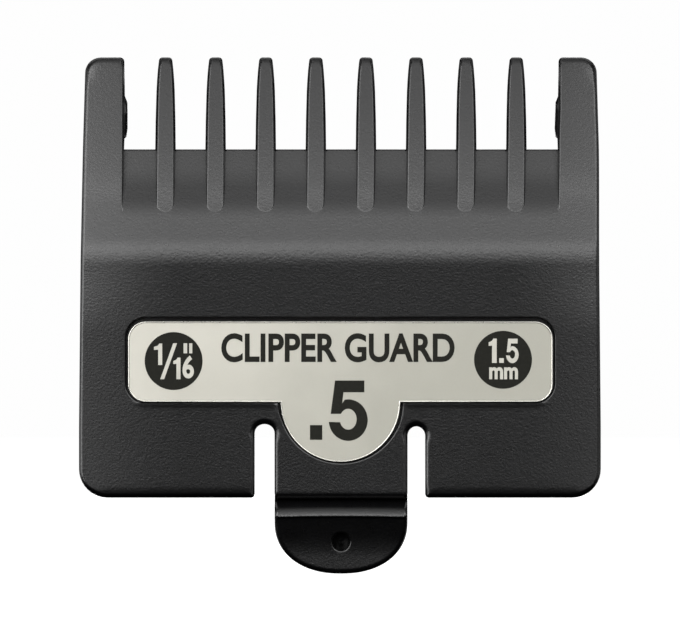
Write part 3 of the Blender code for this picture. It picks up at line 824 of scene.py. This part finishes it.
def build_badge(metal, edge_metal, mark_metal, ink):
    """The stamped label with its beaded rim, and the printed marks on it."""
    badge = flat_piece("badge_plate", [badge_outline(0.0)], BADGE_FACE, BADGE_BACK, metal, 0.05)
    bead = rim_bead("badge_rim", badge_outline(-0.085), 0.08, edge_metal)
    pieces = [badge, bead]
    front = BADGE_FACE - INK_PROUD
    back = BADGE_FACE + 0.01
    for side, centre in (("left", (-15.99, 20.30)), ("right", (15.57, 20.42))):
        ring = arc(centre, 2.775, 0, 360, 72)[:-1]
        pieces.append(flat_piece(f"print_disc_{side}", [ring], front, back, ink))
    figure = [figure_five(), box_outline(-2.927, 12.754, -1.75, 14.165)]
    pieces.append(flat_piece("print_guard_number", figure, front, back, ink))
    pieces.append(words("print_plain_words", "CLIPPER GUARD", (-0.25, 21.42), 3.7, 0.83, 0.10, 0.008, ink))
    inches = [figure_one(-17.08, 19.92, 2.06, 0.39, 0.40), figure_one(-15.33, 18.56, 2.07, 0.39, 0.30),
              box_outline(-17.27, 18.56, -16.9, 22.0, 1.24), box_outline(-15.04, 21.04, -14.69, 22.0),
              box_outline(-14.5, 21.04, -14.2, 22.0)]
    pieces.append(flat_piece("mark_inches", inches, BADGE_FACE - MARK_PROUD, BADGE_FACE, mark_metal))
    pieces.append(words("mark_six", "6", (-14.6, 19.6), 2.85, 0.80, 0.085, 0.02, mark_metal))
    length = [figure_one(14.96, 20.12, 2.33, 0.45, 0.32), box_outline(15.2, 20.12, 15.64, 20.58),
              figure_five(15.86, 20.1, 0.322, 0.405)]
    pieces.append(flat_piece("mark_length", length, BADGE_FACE - MARK_PROUD, BADGE_FACE, mark_metal))
    pieces.append(words("mark_unit", "mm", (15.62, 19.29), 2.2, 0.84, 0.075, 0.02, mark_metal))
    for piece in pieces:
        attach(piece, "comb")
    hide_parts("size_badge")


def clip_path():
    """Side path of the bent strip, (y, z) from the riveted end down to the hook's lip."""
    middle = (CLIP_FRONT + CLIP_BACK) / 2
    bend = HOOK_LEVEL + 1.2
    path = dense([(middle, CLIP_TOP), (middle, bend)], 0.3)
    path += [(middle + HOOK_TURN * (1 - math.cos(a)), bend - HOOK_TURN * math.sin(a))
             for a in np.radians(np.linspace(8, 80, 10))]
    lip = filleted([(path[-1][0], path[-1][1], 0.0), (HOOK_REACH - 0.8, HOOK_LEVEL, 0.5),
                    (HOOK_REACH, HOOK_LEVEL + 0.7, 0.0)], 6)
    return path + dense(lip, 0.2)[1:]


def clip_sheet():
    """The clip's middle surface: riveted leaf, narrowed neck and hooked end."""
    path = clip_path()
    travelled = np.concatenate([[0.0], np.cumsum([math.dist(a, b) for a, b in zip(path, path[1:])])])
    total = travelled[-1]
    columns = np.linspace(-1, 1, 25)
    columns = np.sign(columns) * np.abs(columns) ** 0.8
    work = bmesh.new()
    rows = []
    for (y, z), run in zip(path, travelled):
        half = CLIP_HALF + (HOOK_HALF - CLIP_HALF) * float(smoothstep(run, 13.5, 15.0))
        for from_end, corner in ((run, 1.2), (total - run, 0.7)):
            if from_end < corner:
                half -= corner - math.sqrt(corner ** 2 - (corner - from_end) ** 2)
        rows.append([work.verts.new(to_world(c * half, y, z)) for c in columns])
    for upper, lower in zip(rows, rows[1:]):
        for k in range(len(columns) - 1):
            work.faces.new((upper[k], lower[k], lower[k + 1], upper[k + 1]))
    mesh = bpy.data.meshes.new("clip_strip")
    work.to_mesh(mesh)
    work.free()
    mesh.shade_smooth()
    return mesh


def soften(piece, width, segments, angle):
    """Rounds a piece's edges that are sharper than an angle in degrees."""
    bevel = piece.modifiers.new("edges", "BEVEL")
    bevel.width = width * MM
    bevel.segments = segments
    bevel.limit_method = "ANGLE"
    bevel.angle_limit = math.radians(angle)
    return bevel


def build_clip(steel):
    """One strip of spring steel, as thick as the CAD's."""
    strip = new_object("clip_strip", clip_sheet(), steel)
    thicken = strip.modifiers.new("thickness", "SOLIDIFY")
    thicken.thickness = (CLIP_BACK - CLIP_FRONT) * MM
    thicken.offset = 0.0
    thicken.use_even_offset = True
    soften(strip, 0.09, 3, 50).harden_normals = True
    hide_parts("clip_leaf", "clip_hook")
    return strip


def rivet_profile():
    """Half of a rivet's section, (radius, depth), from its head to its countersunk end."""
    face = CLIP_BACK
    head = [(0.0, face - 0.10), (0.55, face - 0.10), (0.75, face + 0.02), (1.45, face + 0.02),
            (1.6, face - 0.05)]
    shank = [(1.0, CLIP_FRONT), (1.0, -1.26)]
    end = [(1.45, -1.28), (1.5, -1.4), (1.2, -1.47), (0.0, -1.47)]
    return head + shank + end


def build_rivet(side, x, steel):
    """A flush countersunk rivet with a shallow set mark in its head."""
    section = rivet_profile()
    mesh = bpy.data.meshes.new(f"rivet_{side}")
    links = [(k, k + 1) for k in range(len(section) - 1)]
    mesh.from_pydata([(radius * MM, 0.0, depth * MM) for radius, depth in section], links, [])
    rivet = new_object(f"rivet_{side}", mesh, steel)
    turned = rivet.modifiers.new("turned", "SCREW")
    turned.steps = turned.render_steps = 64
    turned.use_merge_vertices = True
    turned.merge_threshold = 0.00001
    turned.use_smooth_shade = True
    soften(rivet, 0.04, 2, 25)
    rivet.rotation_euler = (-math.pi / 2, 0.0, 0.0)
    rivet.location = to_world(x, 0.0, RIVET_HEIGHT)
    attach(rivet, "comb")
    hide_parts(f"clip_rivet_{side}")


# ---- materials ----------------------------------------------------------------------------
NOISE_LOW = 0.3                                  # nearly all of a noise's values lie between these
NOISE_HIGH = 0.7


class Shader:
    """A Principled material with short calls for the nodes that feed it."""

    def __init__(self, name):
        self.material = bpy.data.materials.new(name)
        self.material.use_nodes = True
        self.tree = self.material.node_tree
        self.surface = self.tree.nodes["Principled BSDF"]
        self.place = self.tree.nodes.new("ShaderNodeTexCoord").outputs["Object"]

    def set(self, **values):
        """Sets plain values on sockets, with _ for the spaces in their names."""
        for socket, value in values.items():
            self.surface.inputs[socket.replace("_", " ")].default_value = value

    def scaled(self, factors):
        """Object coordinates stretched along each axis."""
        node = self.tree.nodes.new("ShaderNodeMapping")
        node.inputs["Scale"].default_value = factors
        self.tree.links.new(self.place, node.inputs["Vector"])
        return node.outputs["Vector"]

    def noise(self, per_mm, detail=3.0, stretch=(1.0, 1.0, 1.0)):
        """Cloudy noise with so many grains to the millimetre."""
        node = self.tree.nodes.new("ShaderNodeTexNoise")
        node.inputs["Scale"].default_value = per_mm / MM
        node.inputs["Detail"].default_value = detail
        self.tree.links.new(self.scaled(stretch), node.inputs["Vector"])
        return node.outputs["Fac"]

    def ramp(self, value, low, high):
        """Noise spread over a range of values."""
        node = self.tree.nodes.new("ShaderNodeMapRange")
        node.inputs["From Min"].default_value = NOISE_LOW
        node.inputs["From Max"].default_value = NOISE_HIGH
        node.inputs["To Min"].default_value = low
        node.inputs["To Max"].default_value = high
        self.tree.links.new(value, node.inputs["Value"])
        return node.outputs["Result"]

    def slant(self, value, across, up):
        """The value with a slope added, per millimetre of object x and of object y or height."""
        node = self.tree.nodes.new("ShaderNodeVectorMath")
        node.operation = "DOT_PRODUCT"
        node.inputs[1].default_value = (across / MM, up / MM, 0.0)
        self.tree.links.new(self.place, node.inputs[0])
        total = self.tree.nodes.new("ShaderNodeMath")
        total.operation = "ADD"
        self.tree.links.new(node.outputs["Value"], total.inputs[0])
        self.tree.links.new(value, total.inputs[1])
        return total.outputs["Value"]

    def tint(self, value, dark, light):
        """Colours the surface between two tones."""
        node = self.tree.nodes.new("ShaderNodeValToRGB")
        node.color_ramp.elements[0].position = NOISE_LOW
        node.color_ramp.elements[1].position = NOISE_HIGH
        node.color_ramp.elements[0].color = (*dark, 1.0)
        node.color_ramp.elements[1].color = (*light, 1.0)
        self.tree.links.new(value, node.inputs["Fac"])
        self.tree.links.new(node.outputs["Color"], self.surface.inputs["Base Color"])

    def rough(self, value):
        """Sets the roughness from a node."""
        self.tree.links.new(value, self.surface.inputs["Roughness"])

    def bump(self, height, strength, depth, before=None):
        """Adds a bump, in millimetres, over one made before."""
        node = self.tree.nodes.new("ShaderNodeBump")
        node.inputs["Strength"].default_value = strength
        node.inputs["Distance"].default_value = depth * MM
        self.tree.links.new(height, node.inputs["Height"])
        if before is not None:
            self.tree.links.new(before, node.inputs["Normal"])
        self.tree.links.new(node.outputs["Normal"], self.surface.inputs["Normal"])
        return node.outputs["Normal"]


def nylon_material():
    """Black glass-filled nylon with a fine spark-eroded grain and faint mottling."""
    shader = Shader("grained_nylon")
    shader.tint(shader.noise(0.5, 4.0), (0.0007, 0.0007, 0.0008), (0.0013, 0.0013, 0.0015))
    shader.rough(shader.ramp(shader.noise(1.6, 4.0), 0.273, 0.287))
    grain = shader.bump(shader.noise(3.9, 2.0, (1.0, 1.0, 1.3)), 1.0, 0.017)
    shader.bump(shader.noise(8.0, 2.0), 1.0, 0.006, grain)
    return shader.material


def badge_material():
    """Satin aluminium label with a warm tint and a very fine rolled texture; its colour is painted darker to
    the right and low down, a painted shade for light falling from the upper left."""
    shader = Shader("badge_metal")
    cloud = shader.ramp(shader.noise(0.12, 3.0), 0.16, 0.28)
    # painted shade: the label's tone slopes darker to the right and lighter upwards, as light from the upper
    # left would make it
    shader.tint(shader.slant(cloud, -0.0125, 0.010), (0.338, 0.332, 0.288), (0.50, 0.486, 0.432))
    shader.rough(shader.ramp(shader.noise(5.0, 2.0), 0.42, 0.50))
    shader.bump(shader.noise(9.0, 2.0), 0.25, 0.004)
    shader.set(Metallic=0.55)
    return shader.material


def mottled(name, tint_per_mm, dark, light, rough_per_mm, smooth, rough, **values):
    """A material whose colour and roughness each drift a little between two values."""
    shader = Shader(name)
    shader.tint(shader.noise(tint_per_mm), dark, light)
    shader.rough(shader.ramp(shader.noise(rough_per_mm, 2.0), smooth, rough))
    shader.set(**values)
    return shader.material


def mark_material():
    """The bare label metal that shows through the printed discs."""
    dark, light = (0.42, 0.41, 0.365), (0.48, 0.468, 0.418)
    return mottled("badge_mark_metal", 0.5, dark, light, 5.0, 0.42, 0.50, Metallic=0.55)


def badge_rim_highlight_material():
    """The label's beaded rim: the same aluminium, more metallic and smoother, and painted lighter than the
    label as a highlight along its edge, on top of the light the bead's shape catches.
    """
    # lighter than the label's own tones: a painted highlight along the rim
    dark, light = (0.50, 0.49, 0.45), (0.60, 0.59, 0.54)
    return mottled("badge_rim_painted_highlight", 0.8, dark, light, 5.0, 0.26, 0.34, Metallic=1.0)


def ink_material():
    """Matt printed ink, slightly green black."""
    dark, light = (0.006, 0.0062, 0.0042), (0.009, 0.009, 0.0065)
    return mottled("label_ink", 3.0, dark, light, 6.0, 0.55, 0.65, Specular_IOR_Level=0.12)


def steel_material(name, base, low, high):
    """Rolled steel: fine lengthwise streaks over a satin sheen."""
    shader = Shader(name)
    dark = tuple(c * 0.86 for c in base)
    shader.tint(shader.noise(0.6, 4.0, (4.0, 1.0, 0.3)), dark, base)
    shader.rough(shader.ramp(shader.noise(3.0, 3.0, (6.0, 1.0, 0.4)), low, high))
    shader.bump(shader.noise(5.0, 2.0, (6.0, 1.0, 0.3)), 0.3, 0.004)
    shader.set(Metallic=1.0)
    return shader.material


def adhesive_material():
    """Translucent film of transfer adhesive."""
    return mottled("clear_adhesive", 0.8, (0.50, 0.48, 0.42), (0.58, 0.56, 0.50), 2.0, 0.5, 0.65)


# ---- stage, light and camera ----------------------------------------------------------------
LENS = 1500.0                                    # long enough to show no perspective
SENSOR = 36.0
GUARD_SHARE = 0.767647                           # the guard takes this share of the view's width
WHITE = (1.0, 1.0, 1.0, 1.0)
SURROUND = 0.99                                  # brightness of the floor and the surround
SOFTBOX_DISTANCE = 1.2                           # metres from the guard
SOFTBOXES = (
    # name, degrees round to the right, degrees up, degrees wide, degrees high, brightness
    ("strip_low", 0, 8, 70, 4, 0.1),
    ("strip_key", 0, 13, 70, 5, 2.6),
    ("strip_upper", 0, 20, 70, 7, 7.6),
    ("canopy_low", 0, 29, 70, 9, 2.95),
    ("canopy_middle", 0, 40, 70, 12, 2.1),
    ("canopy_high", 0, 54, 70, 14, 1.8),
    ("overhead", 0, 78, 70, 32, 0.9),
    ("left_near", -14, 2, 6, 24, 1.8),
    ("left_middle", -22, 5, 8, 40, 1.1),
    ("left_far", -46, 20, 20, 60, 7.0),
    ("left_wide", -72, 10, 44, 50, 2.5),
    ("left_canopy", -20, 38, 16, 26, 0.3),
    ("left_upper", -16, 12, 12, 8, 1.2),
    ("right_near", 14, 2, 6, 24, 1.2),
    ("right_middle", 22, 5, 8, 40, 1.0),
    ("right_far", 46, 34, 20, 28, 5.0),
    ("right_wide", 72, 10, 44, 50, 0.8),
    ("behind_left", -128, 0, 26, 60, 0.7),
    ("behind_right", 128, 0, 26, 60, 0.7),
    ("behind_middle", 180, 6, 16, 26, 2.5),
    ("behind_top", 180, 55, 70, 30, 1.0),
)


def softbox(name, around, up, wide, high, brightness):
    """A rectangular soft light that faces the guard and isn't itself in the picture."""
    around, up = math.radians(around), math.radians(up)
    way = Vector((math.sin(around) * math.cos(up), -math.cos(around) * math.cos(up), math.sin(up)))
    lamp = bpy.data.lights.new(name, "AREA")
    lamp.shape = "RECTANGLE"
    lamp.size = 2 * SOFTBOX_DISTANCE * math.tan(math.radians(wide / 2))
    lamp.size_y = 2 * SOFTBOX_DISTANCE * math.tan(math.radians(high / 2))
    lamp.energy = lamp.size * lamp.size_y * math.pi * brightness
    light = bpy.data.objects.new(name, lamp)
    light.location = way * SOFTBOX_DISTANCE
    light.rotation_euler = (-way).to_track_quat("-Z", "Y").to_euler()
    light.visible_camera = False
    bpy.context.scene.collection.objects.link(light)


def build_stage():
    """A pale floor under the guard, a white surround and soft studio lights."""
    scene = bpy.context.scene
    scene.view_settings.view_transform = "Standard"
    world = bpy.data.worlds.new("white_surround")
    world.use_nodes = True
    backdrop = world.node_tree.nodes["Background"]
    backdrop.inputs["Color"].default_value = WHITE
    backdrop.inputs["Strength"].default_value = SURROUND
    world.cycles_visibility.diffuse = False
    world.cycles_visibility.glossy = False
    scene.world = world
    bpy.ops.mesh.primitive_plane_add(size=6.0, location=(0.0, 0.0, cad_box[0][2] - PAD_SAG * MM))
    floor = bpy.context.object
    floor.name = "floor"
    shader = Shader("pale_floor")
    shader.tint(shader.noise(0.002, 2.0), (0.30, 0.30, 0.30), (0.32, 0.32, 0.32))
    shader.rough(shader.ramp(shader.noise(0.01, 2.0), 0.85, 0.9))
    shader.set(Emission_Color=WHITE, Emission_Strength=SURROUND)
    floor.data.materials.append(shader.material)
    floor.visible_diffuse = False
    floor.visible_glossy = False
    for settings in SOFTBOXES:
        softbox(*settings)


def build_camera():
    """A long lens square on to the plate, framing the guard as a catalogue picture does."""
    camera = bpy.data.cameras.new("camera")
    camera.lens = LENS
    camera.sensor_width = SENSOR
    distance = 2 * HALF_WIDTH / GUARD_SHARE * LENS / SENSOR
    holder = bpy.data.objects.new("camera", camera)
    holder.location = to_world(0.01, PLATE - distance, TOP / 2 + 0.01)
    holder.rotation_euler = (math.pi / 2, 0.0, 0.0)
    camera.clip_end = 50.0
    bpy.context.scene.collection.objects.link(holder)
    bpy.context.scene.camera = holder


def dress_cad_nodes(materials):
    """Gives every CAD node that stays in view its own procedural material."""
    for name, material in materials.items():
        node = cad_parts[name]
        node.data.materials.clear()
        node.data.materials.append(material)


build_camera()
build_stage()
nylon = nylon_material()
badge_metal = badge_material()
ink = ink_material()
clip_steel = steel_material("spring_steel", (0.60, 0.61, 0.62), 0.24, 0.36)
rivet_steel = steel_material("rivet_steel", (0.52, 0.52, 0.53), 0.28, 0.42)

moulding = build_moulding(nylon)
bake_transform(moulding)
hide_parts("comb_body", "release_tab")
build_badge(badge_metal, badge_rim_highlight_material(), mark_material(), ink)
strip = build_clip(clip_steel)
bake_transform(strip)
build_rivet("left", -RIVET_X, rivet_steel)
build_rivet("right", RIVET_X, rivet_steel)
dress_cad_nodes({"badge_adhesive": adhesive_material()})
